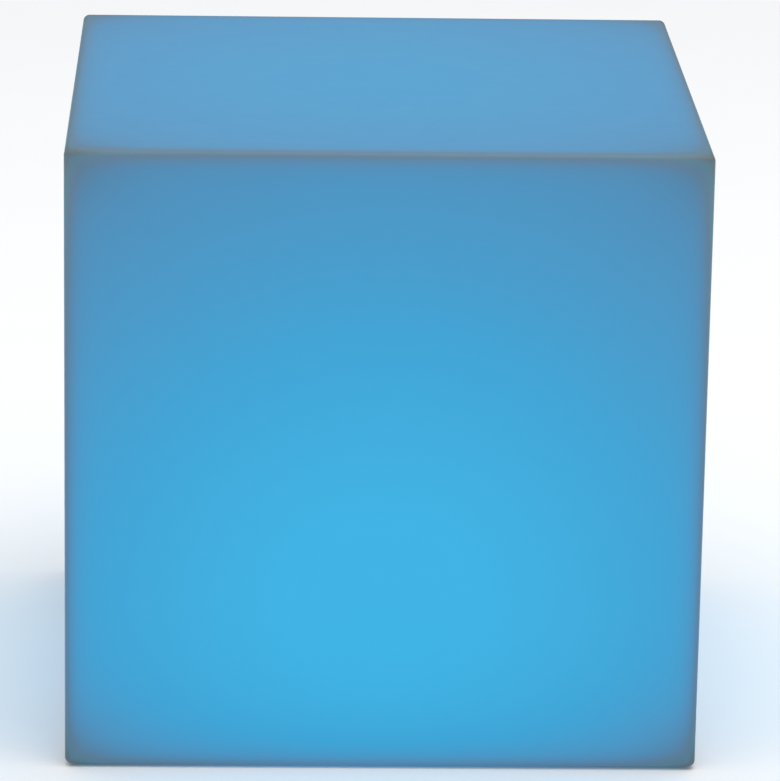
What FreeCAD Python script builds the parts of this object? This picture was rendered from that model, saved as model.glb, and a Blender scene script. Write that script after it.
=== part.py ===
import FreeCAD, Part
import math
import os
import re

import Sketcher

# A garden cube light: a hollow moulded cube whose underside has a round well. A lamp unit is
# screwed into the well from below: a plate and cup with the cells, the control board, and the
# LED board under a dome. Millimetres, +Z up, origin on the floor under the cube's middle, and
# the front face looks towards -Y.

doc = FreeCAD.newDocument("CubeLight")

# ---------------------------------------------------------------- driving sizes (mm, counts)

CUBE_SIZES = {
    "side": 400, "wall": 5, "edge_radius": 4.3, "inner_edge_radius": 9,
    "foot_radius": 10, "foot_thick": 1.5, "foot_inset": 34, "foot_bevel": 0.5,
    "well_depth": 25, "well_gap": 6, "mouth_radius": 3, "well_bend": 4,
    "boss_radius": 7, "boss_floor": 1.5, "insert_radius": 2.9, "insert_length": 8,
    "thread_radius": 2, "screw_count": 6, "insert_play": 0.03, "insert_tip": 2,
}
UNIT_SIZES = {
    "plate_thick": 4, "gasket_thick": 2, "plate_lip": 1.2, "unit_gap": 2,
    "cup_wall": 2.5, "cup_margin": 1.5, "plate_bevel": 1,
    "pillar_radius": 5, "pillar_count": 4, "pillar_bite": 1.5,
    "spreader_thick": 3, "seal_thick": 1, "dome_flange": 2.5, "dome_rise": 20, "dome_wall": 2,
    "dome_gap": 4, "thermal_thick": 0.5, "board_rim": 5, "led_board_thick": 1.6,
    "led_size": 5, "led_height": 1.6, "inner_leds": 5, "outer_leds": 10,
    "inner_led_circle": 14, "led_ring_step": 15, "led_screw_count": 3, "led_screw_room": 0.9,
    "eye_width": 7, "eye_depth": 5.5, "eye_height": 5,
}
SCREW_SIZES = {
    "big_head": 4, "big_head_high": 2.2, "big_sink": 0.2, "big_length": 12,
    "small_head": 2.6, "small_head_high": 1.5, "small_shank": 1.25, "small_length": 8,
    "screw_gap": 0.3, "thread_gap": 0.05,
}
POWER_SIZES = {
    "cell_radius": 9.2, "cell_length": 65, "cell_gap": 0.4, "nub_radius": 3, "nub_high": 0.6,
    "strip_thick": 0.3, "strip_high": 8, "tray_wall": 1.6, "tray_floor": 1.6, "tray_high": 16,
    "tray_corner": 5, "play": 0.2, "seat": 0.05, "tray_near": 3.4,
    "clamp_thick": 2, "clamp_width": 9, "clamp_across": -12, "post_radius": 3.2,
    "guard_thick": 1, "guard_length": 30, "guard_high": 10,
    "lead_radius": 0.8, "lead_bend": 4.8, "lead_exit": 0.5, "lead_pitch": 2.5,
}
BOARD_SIZES = {
    "board_length": 66, "board_depth": 40, "board_thick": 1.6, "board_lift": 11.5,
    "board_near": 4, "board_inset": 4, "boss_small": 3.2, "chip_size": 9, "chip_high": 1.6,
    "driver_size": 6, "driver_high": 2.3, "driver_pitch": 7.5, "coil_size": 10, "coil_high": 4.5,
    "capacitor_radius": 4, "capacitor_high": 8.5, "part_edge": 5, "head_room": 1,
    "socket_high": 3, "plug_high": 4, "plug_inside": 1, "plug_side": 6, "led_wire_count": 4,
    "wire_radius": 0.6, "wire_bend": 3.8, "wire_gap": 0.5, "slot_width": 5, "slot_margin": 1,
    "socket_wall": 1, "plug_margin": 1, "part_gap": 1.5,
}
PORT_SIZES = {
    "button_inset": 15, "button_radius": 8, "button_proud": 0.8, "button_edge": 0.6,
    "button_lip": 1.6, "shoulder_high": 1.5, "stem_radius": 3, "travel": 1.2, "pill_radius": 2.2,
    "pill_high": 1.2, "slide_gap": 0.1, "ring_radius": 0.5, "ring_gap": 0.05, "touch_gap": 0.05,
    "spring_radius": 6, "spring_wire": 0.7, "spring_turns": 5,
    "port_inset": 21, "jack_radius": 5.4, "jack_bore": 3.15, "jack_deep": 10, "jack_lip": 2,
    "jack_body": 6.4, "jack_shoulder": 1.5, "washer_thick": 0.5, "pin_radius": 1,
    "pin_recess": 3.6, "tail_radius": 0.6, "tail_high": 1, "flap_thick": 1.6, "flap_radius": 7,
    "flap_gap": 0.6, "hinge_reach": 10.5, "strap_width": 5, "hinge_gap": 0.3, "anchor_length": 5,
    "stub_high": 2.8, "stub_root": 2.85, "stub_tip": 2.2, "peg_radius": 1.5, "peg_head": 2.4,
    "peg_head_high": 1.2, "nail_radius": 4, "pipe_radius": 1.75,
    "pipe_lip": 0.9, "pipe_lip_high": 0.8, "pipe_gap": 1, "lamp_long": 3, "lamp_wide": 1.6,
    "lamp_high": 1,
}

# ------------------------------------------------- places worked out from the driving sizes

PLACES = {
    "shell_base": "foot_thick",
    "foot_place": "side / 2 - foot_inset",
    "roof_under": "shell_base + well_depth",
    "cup_floor": "roof_under - gasket_thick",
    "plate_under": "cup_floor - plate_thick",
    "insert_deep": "insert_length + insert_tip",
    "boss_top": "roof_under + insert_deep + boss_floor",
    "screw_seat": "plate_under + big_head_high + big_sink",
    # the lamp unit's plan: cells behind the middle line, control board in front of it
    "tray_half_long": "cell_length / 2 + strip_thick + play + tray_wall",
    "tray_half_wide": "2 * cell_radius + cell_gap / 2 + play + tray_wall",
    "pack_back": "tray_near + tray_half_wide",
    "cell_offset": "cell_radius + cell_gap / 2",
    "tray_far": "tray_near + 2 * tray_half_wide",
    "board_front": "-(board_near + board_depth / 2)",
    "tray_reach": "sqrt((tray_half_long - tray_corner)^2 + (tray_far - tray_corner)^2) + tray_corner",
    "post_far": "tray_far + post_radius + play",
    "post_near": "tray_near - post_radius - play",
    "post_reach": "sqrt(clamp_across^2 + post_far^2) + post_radius",
    "outer_led_circle": "inner_led_circle + led_ring_step",
    "led_screw_circle": "outer_led_circle + led_size / 2 + small_head + led_screw_room",
    "led_board_radius": "led_screw_circle + board_rim",
    "dome_mouth": "led_board_radius + dome_gap",
    "board_reach": "sqrt((board_length / 2)^2 + (board_near + board_depth)^2)",
    "content_reach": "max(max(tray_reach; post_reach); max(board_reach; dome_mouth + 2 * pillar_radius))",
    "cup_inside": "content_reach + cup_margin",
    "cup_radius": "cup_inside + cup_wall",
    "pillar_circle": "cup_inside + pillar_bite - pillar_radius",
    "roof_hole": "cup_radius + unit_gap",
    "screw_circle": "roof_hole + boss_radius + plate_lip",
    "plate_radius": "screw_circle + boss_radius + plate_lip",
    "well_radius": "plate_radius + well_gap",
    # heights in the cup
    "board_under": "cup_floor + board_lift",
    "board_top": "board_under + board_thick",
    "cell_axis": "cup_floor + tray_floor + seat + cell_radius",
    "clamp_under": "cell_axis + cell_radius + seat",
    "clamp_top": "clamp_under + clamp_thick",
    "plug_top": "board_top + socket_high + plug_high - plug_inside",
    "lead_crest": "plug_top + lead_exit + lead_bend + lead_radius",
    "crown": "max(clamp_top + small_head_high; max(board_top + capacitor_high; lead_crest))",
    "spreader_under": "crown + head_room",
    "spreader_top": "spreader_under + spreader_thick",
    "rim": "spreader_top - seal_thick",
    "led_base": "spreader_top + thermal_thick",
    "led_board_top": "led_base + led_board_thick",
    "dome_seat": "spreader_top + dome_flange",
    # control board's places
    "button_across": "button_inset - board_length / 2",
    "port_across": "board_length / 2 - port_inset",
    "pipe_across": "(button_across + port_across) / 2",
    "guard_across": "port_across",
    "board_screw_x": "board_length / 2 - board_inset",
    "board_screw_y": "board_depth / 2 - board_inset",
    "lead_row": "tray_near - guard_thick - seat - lead_radius",
    "battery_plug_y": "lead_row - 2 * lead_bend",
    "pad_y": "-(outer_led_circle - led_size / 2 - wire_radius - wire_gap)",
    "slot_y": "pad_y - 2 * wire_bend",
    "led_plug_y": "slot_y",
    "led_plug_length": "led_wire_count * lead_pitch + plug_margin",
    # charge port, with its flap's hinge on the plate's outer face
    "port_mouth": "plate_under + flap_thick",
    "hinge_x": "port_across + hinge_reach",
    "pipe_top": "board_under - lamp_high - pipe_gap",
}


def fill_sheet(name, rows):
    """A spreadsheet with one named cell for each row."""
    sheet = doc.addObject("Spreadsheet::Sheet", name)
    for row, (alias, content) in enumerate(rows.items(), 1):
        sheet.set(f"A{row}", alias)
        sheet.set(f"B{row}", content)
        sheet.setAlias(f"B{row}", alias)
    return sheet


SIZES = {**CUBE_SIZES, **UNIT_SIZES, **SCREW_SIZES, **POWER_SIZES, **BOARD_SIZES, **PORT_SIZES}


def formula(text):
    """The same formula with each size's sheet written in front of its name."""
    def full_name(match):
        word = match.group(0)
        if word in SIZES:
            return "Sizes." + word
        return "Places." + word if word in PLACES else word
    return re.sub(r"[a-z][a-z_0-9]*", full_name, text)


sizes = fill_sheet("Sizes", {name: str(number) for name, number in SIZES.items()})
fill_sheet("Places", {name: "=" + formula(text) for name, text in PLACES.items()})
doc.recompute()


def value(text):
    """The number that a formula stands for now."""
    return float(sizes.evalExpression(formula(text)))


# ------------------------------------------------------------------ ways of making a piece

def new_body(label, x="0", y="0", z="0"):
    """A body of its own, placed by three formulas."""
    body = doc.addObject("PartDesign::Body", label)
    body.Label = label
    for axis, text in zip("xyz", (x, y, z)):
        body.setExpression("Placement.Base." + axis, formula(text))
    return body


def origin_of(body, role):
    return next(item for item in body.Origin.OriginFeatures if item.Role == role)


def new_sketch(body, height="0", plane="XY_Plane"):
    """A sketch on the body's own plane, lifted off it by a formula."""
    sketch = body.newObject("Sketcher::SketchObject", body.Label + "_sketch")
    sketch.AttachmentSupport = [(origin_of(body, plane), "")]
    sketch.MapMode = "FlatFace"
    sketch.setExpression("AttachmentOffset.Base.z", formula(height))
    return sketch


def fix(sketch, kind, geometry, point, text):
    """Ties a point's distance from the sketch's origin to a formula."""
    rule = Sketcher.Constraint(kind, -1, 1, geometry, point, value(text))
    sketch.setExpression(f"Constraints[{sketch.addConstraint(rule)}]", formula(text))


def add_circle(sketch, radius, x="0", y="0"):
    middle = FreeCAD.Vector(value(x), value(y), 0)
    circle = Part.Circle(middle, FreeCAD.Vector(0, 0, 1), value(radius))
    number = sketch.addGeometry(circle, False)
    fix(sketch, "DistanceX", number, 3, x)
    fix(sketch, "DistanceY", number, 3, y)
    rule = sketch.addConstraint(Sketcher.Constraint("Radius", number, value(radius)))
    sketch.setExpression(f"Constraints[{rule}]", formula(radius))


def add_outline(sketch, points):
    """A closed outline of straight lines through (x, y) formulas."""
    first = sketch.GeometryCount
    spots = [FreeCAD.Vector(value(x), value(y), 0) for x, y in points]
    for start, end in zip(spots, spots[1:] + spots[:1]):
        sketch.addGeometry(Part.LineSegment(start, end), False)
    for number in range(len(points)):
        follower = first + (number + 1) % len(points)
        sketch.addConstraint(Sketcher.Constraint("Coincident", first + number, 2, follower, 1))
    for number, (x, y) in enumerate(points, first):
        fix(sketch, "DistanceX", number, 1, x)
        fix(sketch, "DistanceY", number, 1, y)


def add_rectangle(sketch, long, deep, x="0", y="0"):
    """A rectangle of two side lengths about a middle point."""
    left, right = f"{x} - ({long}) / 2", f"{x} + ({long}) / 2"
    near, far = f"{y} - ({deep}) / 2", f"{y} + ({deep}) / 2"
    add_outline(sketch, [(left, near), (right, near), (right, far), (left, far)])


def pad(body, sketch, length):
    feature = body.newObject("PartDesign::Pad", body.Label + "_pad")
    feature.Profile = sketch
    feature.setExpression("Length", formula(length))
    return feature


def pocket(body, sketch, depth):
    """Cuts upwards from the sketch, and checks that something was cut."""
    doc.recompute()
    before = body.Shape.Volume
    feature = body.newObject("PartDesign::Pocket", body.Label + "_pocket")
    feature.Profile = sketch
    feature.Reversed = True
    feature.setExpression("Length", formula(depth))
    doc.recompute()
    if not body.Shape.Volume < before:
        raise RuntimeError(f"{body.Label}: a pocket cuts nothing")
    return feature


def turned(body, points, plane="XZ_Plane", axis="Z_Axis"):
    """A solid of revolution from (radius, height) formulas."""
    sketch = new_sketch(body, plane=plane)
    add_outline(sketch, points)
    feature = body.newObject("PartDesign::Revolution", body.Label + "_turned")
    feature.Profile = sketch
    feature.ReferenceAxis = (origin_of(body, axis), [""])
    feature.Angle = 360
    return feature


def ring_of(body, features, count):
    """Repeats features evenly about the body's vertical axis."""
    doc.recompute()
    pattern = body.newObject("PartDesign::PolarPattern", body.Label + "_pattern")
    pattern.Originals = features
    pattern.Axis = (origin_of(body, "Z_Axis"), [""])
    pattern.Angle = 360
    pattern.setExpression("Occurrences", formula(count))
    body.Tip = pattern
    return pattern


def rounded(body, radius, wanted, kind="Fillet"):
    """Fillets or chamfers the body's edges that a test picks."""
    doc.recompute()
    base = body.Tip
    names = [f"Edge{number}" for number, edge in enumerate(base.Shape.Edges, 1) if wanted(edge)]
    if not names:
        raise RuntimeError(f"{body.Label}: no edge to round")
    feature = body.newObject("PartDesign::" + kind, body.Label + "_edges")
    feature.Base = (base, names)
    feature.setExpression("Radius" if kind == "Fillet" else "Size", formula(radius))
    return feature


def on_circle(radius, height):
    """Picks whole circles of a radius about the vertical axis at a height."""
    def wanted(edge):
        box = edge.BoundBox
        flat = box.ZLength < 1e-6 and abs(box.ZMin - value(height)) < 1e-4
        return flat and abs(box.XLength / 2 - value(radius)) < 1e-4
    return wanted


def upright(edge):
    """Picks straight vertical edges."""
    box = edge.BoundBox
    return box.XLength < 1e-6 and box.YLength < 1e-6


def disc(label, outer, bottom, high, x="0", y="0"):
    """A plain round piece."""
    body = new_body(label, x, y, bottom)
    sketch = new_sketch(body)
    add_circle(sketch, outer)
    pad(body, sketch, high)
    return body


def block(label, long, deep, high, x, y, bottom):
    """A plain rectangular piece on its middle point."""
    body = new_body(label, x, y, bottom)
    sketch = new_sketch(body)
    add_rectangle(sketch, long, deep)
    pad(body, sketch, high)
    return body


def cross_slot(body, x, y, width, bottom, depth):
    """A cross recess in a screw's head."""
    sketch = new_sketch(body, bottom)
    bar = f"({width}) / 6"
    arm = f"({width}) / 2"
    corners = [(bar, arm), (bar, bar), (arm, bar)]
    points = []
    for turn in range(4):
        for along, across in corners if turn % 2 == 0 else corners[::-1]:
            right = "+" if turn in (0, 3) else "-"
            back = "+" if turn in (0, 1) else "-"
            points.append((f"{x} {right} {along}", f"{y} {back} {across}"))
    order = [0, 1, 2] + [11, 10, 9][::-1] + [6, 7, 8] + [5, 4, 3][::-1]
    add_outline(sketch, [points[number] for number in order])
    return pocket(body, sketch, depth)


def screws(label, centres, head, head_high, shank, length, seat):
    """Pan-head screws that point down from a seat, one at each centre."""
    body = new_body(label, z=seat)
    shanks = new_sketch(body, f"-({length})")
    heads = new_sketch(body)
    for x, y in centres:
        add_circle(shanks, shank, x, y)
        add_circle(heads, head, x, y)
    pad(body, heads, head_high)
    pad(body, shanks, length)
    return body


def four_corners(x, y):
    return [(f"{a}{x}", f"{b}{y}") for a in ("", "-") for b in ("", "-")]


# ------------------------------------------------------------------------------ the cube

def cube_shell():
    """One hollow moulding, thick at its edges, with the well and its bosses underneath."""
    body = new_body("cube_shell", z="shell_base")
    outside = new_sketch(body)
    add_rectangle(outside, "side", "side")
    pad(body, outside, "side")
    rounded(body, "edge_radius", lambda edge: True)

    inside = new_sketch(body, "wall")
    add_rectangle(inside, "side - 2 * wall", "side - 2 * wall")
    pocket(body, inside, "side - 2 * wall")
    low, high = value("wall") - 1, value("side - wall") + 1
    half = value("side / 2 - wall") + 1

    def in_the_hollow(edge):
        box = edge.BoundBox
        level = low < box.ZMin and box.ZMax < high
        return level and max(box.XMax, -box.XMin, box.YMax, -box.YMin) < half
    rounded(body, "inner_edge_radius", in_the_hollow)

    tower = new_sketch(body, "wall / 2")
    add_circle(tower, "well_radius + wall")
    pad(body, tower, "well_depth + wall / 2")
    rounded(body, "well_bend", on_circle("well_radius + wall", "well_depth + wall"))

    boss = new_sketch(body, "well_depth + wall / 2")
    add_circle(boss, "boss_radius", "screw_circle")
    ring_of(body, [pad(body, boss, "boss_top - roof_under - wall / 2")], "screw_count")

    well = new_sketch(body)
    add_circle(well, "well_radius")
    pocket(body, well, "well_depth")
    hole = new_sketch(body)
    add_circle(hole, "roof_hole")
    pocket(body, hole, "boss_top")
    insert = new_sketch(body, "well_depth")
    add_circle(insert, "insert_radius", "screw_circle")
    ring_of(body, [pocket(body, insert, "insert_deep")], "screw_count")
    rounded(body, "mouth_radius", on_circle("well_radius", "0"))
    rounded(body, "mouth_radius", on_circle("well_radius", "well_depth"))


def threaded_inserts():
    """Brass threads moulded into the bosses."""
    body = new_body("threaded_inserts", z="roof_under")
    sketch = new_sketch(body)
    add_circle(sketch, "insert_radius - insert_play", "screw_circle")
    add_circle(sketch, "thread_radius", "screw_circle")
    ring_of(body, [pad(body, sketch, "insert_length")], "screw_count")


def foot_pads():
    """Rubber pads under the four corners."""
    for depth, back in (("front", "-"), ("rear", "")):
        for hand, right in (("left", "-"), ("right", "")):
            name = f"foot_pad_{depth}_{hand}"
            body = disc(name, "foot_radius", "0", "foot_thick", right + "foot_place", back + "foot_place")
            rounded(body, "foot_bevel", on_circle("foot_radius", "0"), "Chamfer")


# ------------------------------------------------------------------- the lamp unit's casing

def base_gasket():
    body = new_body("base_gasket", z="cup_floor")
    sketch = new_sketch(body)
    add_circle(sketch, "plate_radius - plate_lip")
    add_circle(sketch, "roof_hole")
    pad(body, sketch, "gasket_thick")
    hole = new_sketch(body)
    add_circle(hole, "thread_radius + screw_gap", "screw_circle")
    ring_of(body, [pocket(body, hole, "gasket_thick")], "screw_count")


def base_housing():
    """The round plate that closes the well, with the cup that holds cells and boards."""
    body = new_body("base_housing", z="plate_under")
    turned(body, [("0", "0"), ("plate_radius - plate_bevel", "0"), ("plate_radius", "plate_bevel"),
                  ("plate_radius", "plate_thick"), ("cup_radius", "plate_thick"),
                  ("cup_radius", "rim - plate_under"), ("cup_inside", "rim - plate_under"),
                  ("cup_inside", "plate_thick"), ("0", "plate_thick")])

    pillar = new_sketch(body, "plate_thick")
    add_circle(pillar, "pillar_radius", "pillar_circle")
    add_circle(pillar, "small_shank + thread_gap", "pillar_circle")
    ring_of(body, [pad(body, pillar, "spreader_under - cup_floor")], "pillar_count")

    bosses = new_sketch(body, "plate_thick")
    for x, y in four_corners("board_screw_x", "board_screw_y"):
        add_circle(bosses, "boss_small", x, f"board_front + {y}".replace("+ -", "- "))
        add_circle(bosses, "small_shank + thread_gap", x, f"board_front + {y}".replace("+ -", "- "))
    pad(body, bosses, "board_lift")
    posts = new_sketch(body, "plate_thick")
    for y in ("post_near", "post_far"):
        add_circle(posts, "post_radius", "clamp_across", y)
        add_circle(posts, "small_shank + thread_gap", "clamp_across", y)
    pad(body, posts, "clamp_under - cup_floor")

    sinks = new_sketch(body)
    add_circle(sinks, "big_head + screw_gap", "screw_circle")
    sink = pocket(body, sinks, "screw_seat - plate_under")
    holes = new_sketch(body)
    add_circle(holes, "thread_radius + screw_gap", "screw_circle")
    ring_of(body, [sink, pocket(body, holes, "plate_thick")], "screw_count")

    through = new_sketch(body)
    add_circle(through, "button_radius + slide_gap", "button_across", "board_front")
    add_circle(through, "pipe_radius + touch_gap", "pipe_across", "board_front")
    add_circle(through, "jack_radius + slide_gap", "port_across", "board_front")
    add_circle(through, "peg_radius + slide_gap", "hinge_x + hinge_gap + anchor_length / 2", "board_front")
    pocket(body, through, "plate_thick")
    flap_seat = new_sketch(body)
    add_circle(flap_seat, "flap_radius + flap_gap", "port_across", "board_front")
    pocket(body, flap_seat, "flap_thick")
    channel = new_sketch(body)
    add_rectangle(channel, "hinge_reach + hinge_gap + anchor_length + slide_gap", "strap_width + flap_gap",
                  "port_across + (hinge_reach + hinge_gap + anchor_length + slide_gap) / 2", "board_front")
    pocket(body, channel, "flap_thick")
    nail = new_sketch(body)
    add_circle(nail, "nail_radius", "port_across - flap_radius", "board_front")
    pocket(body, nail, "flap_thick")


def base_screws():
    """Pan-head machine screws that hold the lamp unit in the well, driven from below."""
    body = new_body("base_screws", z="screw_seat")
    shank = new_sketch(body)
    add_circle(shank, "thread_radius - thread_gap", "screw_circle")
    head = new_sketch(body, "-big_head_high")
    add_circle(head, "big_head", "screw_circle")
    features = [pad(body, head, "big_head_high"), pad(body, shank, "big_length")]
    features.append(cross_slot(body, "screw_circle", "0", "big_head", "-big_head_high",
                               "big_head_high / 2"))
    ring_of(body, features, "screw_count")


# ------------------------------------------------------------------------- light and its cover

def heat_spreader():
    body = new_body("heat_spreader", z="spreader_under")
    sketch = new_sketch(body)
    add_circle(sketch, "cup_inside - play")
    pad(body, sketch, "spreader_thick")
    hole = new_sketch(body)
    add_circle(hole, "small_shank + screw_gap", "pillar_circle")
    ring_of(body, [pocket(body, hole, "spreader_thick")], "pillar_count")
    thread = new_sketch(body)
    add_circle(thread, "small_shank + thread_gap", "0", "led_screw_circle")
    ring_of(body, [pocket(body, thread, "spreader_thick")], "led_screw_count")
    slot = new_sketch(body)
    add_rectangle(slot, "led_plug_length + 2 * slot_margin", "slot_width", "0", "slot_y")
    pocket(body, slot, "spreader_thick")


def led_disc(label, bottom, high):
    """A disc under the LEDs with its screw holes and the slot for the wires."""
    body = disc(label, "led_board_radius", bottom, high)
    hole = new_sketch(body)
    add_circle(hole, "small_shank + thread_gap", "0", "led_screw_circle")
    ring_of(body, [pocket(body, hole, high)], "led_screw_count")
    slot = new_sketch(body)
    add_rectangle(slot, "led_plug_length + 2 * slot_margin", "slot_width", "0", "slot_y")
    pocket(body, slot, high)


def led_packages(label, circle, count):
    """Square LED packages on a circle, none of them in front of the wires."""
    body = new_body(label, z="led_board_top")
    sketch = new_sketch(body)
    add_rectangle(sketch, "led_size", "led_size", "0", circle)
    ring_of(body, [pad(body, sketch, "led_height")], count)


def led_board_screws():
    body = new_body("led_board_screws", z="led_board_top")
    shank = new_sketch(body, "-(spreader_thick + thermal_thick + led_board_thick)")
    add_circle(shank, "small_shank", "0", "led_screw_circle")
    head = new_sketch(body)
    add_circle(head, "small_head", "0", "led_screw_circle")
    features = [pad(body, head, "small_head_high"),
                pad(body, shank, "spreader_thick + thermal_thick + led_board_thick")]
    ring_of(body, features, "led_screw_count")


def dome_seal():
    body = new_body("dome_seal", z="rim")
    sketch = new_sketch(body)
    add_circle(sketch, "cup_radius")
    add_circle(sketch, "cup_inside")
    pad(body, sketch, "seal_thick")


def dome_cover():
    """A frosted cap of a sphere on a flat flange."""
    body = new_body("dome_cover", z="spreader_top")
    sketch = new_sketch(body, plane="XZ_Plane")
    corners = [("dome_mouth", "0"), ("cup_radius", "0"), ("cup_radius", "dome_flange"),
               ("dome_mouth + dome_wall", "dome_flange")]
    spots = [FreeCAD.Vector(value(x), value(y), 0) for x, y in corners]
    for start, end in zip(spots, spots[1:]):
        sketch.addGeometry(Part.LineSegment(start, end), False)

    def cap(foot, top):
        """An arc from a point on the flange to the axis, its centre on the axis."""
        rise = top - foot.y
        radius = (foot.x ** 2 + rise ** 2) / (2 * rise)
        middle = FreeCAD.Vector(0, top - radius, 0)
        circle = Part.Circle(middle, FreeCAD.Vector(0, 0, 1), radius)
        start = math.atan2(foot.y - middle.y, foot.x)
        return sketch.addGeometry(Part.ArcOfCircle(circle, start, math.pi / 2), False)

    top, under = value("dome_rise"), value("dome_rise - dome_wall")
    outer = cap(spots[3], top)
    stem = sketch.addGeometry(Part.LineSegment(FreeCAD.Vector(0, top, 0), FreeCAD.Vector(0, under, 0)), False)
    inner = cap(spots[0], under)
    joins = [(0, 2, 1, 1), (1, 2, 2, 1), (2, 2, outer, 1), (outer, 2, stem, 1),
             (stem, 2, inner, 2), (inner, 1, 0, 1)]
    for join in joins:
        sketch.addConstraint(Sketcher.Constraint("Coincident", *join))
    for number, (x, y) in enumerate(corners[:3]):
        fix(sketch, "DistanceX", number, 1, x)
        fix(sketch, "DistanceY", number, 1, y)
    fix(sketch, "DistanceX", 2, 2, corners[3][0])
    fix(sketch, "DistanceY", 2, 2, corners[3][1])
    for point, text in ((1, "dome_rise"), (2, "dome_rise - dome_wall")):
        fix(sketch, "DistanceX", stem, point, "0")
        fix(sketch, "DistanceY", stem, point, text)
    for arc in (outer, inner):
        sketch.addConstraint(Sketcher.Constraint("PointOnObject", arc, 3, -2))
    feature = body.newObject("PartDesign::Revolution", "dome_turned")
    feature.Profile = sketch
    feature.ReferenceAxis = (origin_of(body, "Z_Axis"), [""])
    feature.Angle = 360
    hole = new_sketch(body)
    add_circle(hole, "small_shank + screw_gap", "pillar_circle")
    ring_of(body, [pocket(body, hole, "dome_flange")], "pillar_count")


def dome_screws():
    body = new_body("dome_screws", z="dome_seat")
    shank = new_sketch(body, "-(dome_flange + spreader_thick + small_length)")
    add_circle(shank, "small_shank", "pillar_circle")
    head = new_sketch(body)
    add_circle(head, "small_head", "pillar_circle")
    features = [pad(body, head, "small_head_high"),
                pad(body, shank, "dome_flange + spreader_thick + small_length")]
    ring_of(body, features, "pillar_count")


# ------------------------------------------------------------------------------- power

def battery_cells():
    """Two round cells that lie side by side with their nubs to the right."""
    for name, side in (("battery_cell_front", "-"), ("battery_cell_rear", "+")):
        body = new_body(name, y=f"pack_back {side} cell_offset", z="cell_axis")
        sketch = new_sketch(body, plane="XZ_Plane")
        left, right = "-cell_length / 2", "cell_length / 2"
        add_outline(sketch, [(left, "0"), (right, "0"), (right, "nub_radius"),
                             (right + " - nub_high", "nub_radius"), (right + " - nub_high", "cell_radius"),
                             (left, "cell_radius")])
        feature = body.newObject("PartDesign::Revolution", name + "_turned")
        feature.Profile = sketch
        feature.ReferenceAxis = (origin_of(body, "X_Axis"), [""])
        feature.Angle = 360


def nickel_strips():
    for name, place in (("nickel_strip_positive", "(cell_length + strip_thick) / 2"),
                        ("nickel_strip_negative", "-(cell_length + strip_thick) / 2")):
        block(name, "strip_thick", "2 * cell_offset + strip_high", "strip_high",
              place, "pack_back", "cell_axis - strip_high / 2")


def battery_tray():
    body = new_body("battery_tray", y="pack_back", z="cup_floor")
    sketch = new_sketch(body)
    add_rectangle(sketch, "2 * tray_half_long", "2 * tray_half_wide")
    pad(body, sketch, "tray_high")
    rounded(body, "tray_corner", upright)
    hollow = new_sketch(body, "tray_floor")
    add_rectangle(hollow, "2 * (tray_half_long - tray_wall)", "2 * (tray_half_wide - tray_wall)")
    pocket(body, hollow, "tray_high")


def battery_clamp():
    """A bar over the cells, screwed to the cup's two posts."""
    body = new_body("battery_clamp", x="clamp_across", z="clamp_under")
    bar = new_sketch(body)
    add_rectangle(bar, "clamp_width", "post_far - post_near + 2 * post_radius",
                  "0", "(post_far + post_near) / 2")
    pad(body, bar, "clamp_thick")
    holes = new_sketch(body)
    add_circle(holes, "small_shank + screw_gap", "0", "post_near")
    add_circle(holes, "small_shank + screw_gap", "0", "post_far")
    pocket(body, holes, "clamp_thick")


def protection_board():
    block("protection_board", "guard_length", "guard_thick", "guard_high", "guard_across",
          "tray_near - guard_thick / 2", "cup_floor + tray_high - guard_high")


# ------------------------------------------------------------------------- control board

def control_board():
    body = block("control_board", "board_length", "board_depth", "board_thick", "0", "board_front",
                 "board_under")
    holes = new_sketch(body)
    for x, y in four_corners("board_screw_x", "board_screw_y"):
        add_circle(holes, "small_shank + screw_gap", x, y)
    add_circle(holes, "tail_radius + slide_gap", "port_across", "0")
    pocket(body, holes, "board_thick")


def board_parts():
    """What is soldered to the control board's top."""
    back = "board_front + board_depth / 2 - part_edge"
    front = "board_front - board_depth / 2 + part_edge"
    block("controller_chip", "chip_size", "chip_size", "chip_high", "-board_length / 4",
          back + " - chip_size / 2", "board_top")
    body = new_body("colour_drivers", z="board_top")
    sketch = new_sketch(body)
    for step in ("0", "1", "2"):
        add_rectangle(sketch, "driver_size", "driver_size",
                      f"-(led_plug_length / 2 + socket_wall + part_gap + driver_size / 2)"
                      f" - {step} * driver_pitch",
                      front + " + driver_size")
    pad(body, sketch, "driver_high")
    block("charge_inductor", "coil_size", "coil_size", "coil_high", "0",
          back + " - coil_size / 2", "board_top")
    disc("filter_capacitor", "capacitor_radius", "board_top", "capacitor_high",
         "board_length / 2 - capacitor_radius - part_edge", "board_front")


def connector(name, long, x, y):
    """An upright socket on the board and the plug that stands in it."""
    body = block(name + "_socket", long + " + 2 * socket_wall", "plug_side", "socket_high", x, y, "board_top")
    inside = new_sketch(body, "socket_high - plug_inside")
    add_rectangle(inside, long + " + play", "plug_side - 2 * socket_wall + play")
    pocket(body, inside, "plug_inside")
    block(name + "_plug", long, "plug_side - 2 * socket_wall", "plug_high", x, y,
          "board_top + socket_high - plug_inside")


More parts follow.
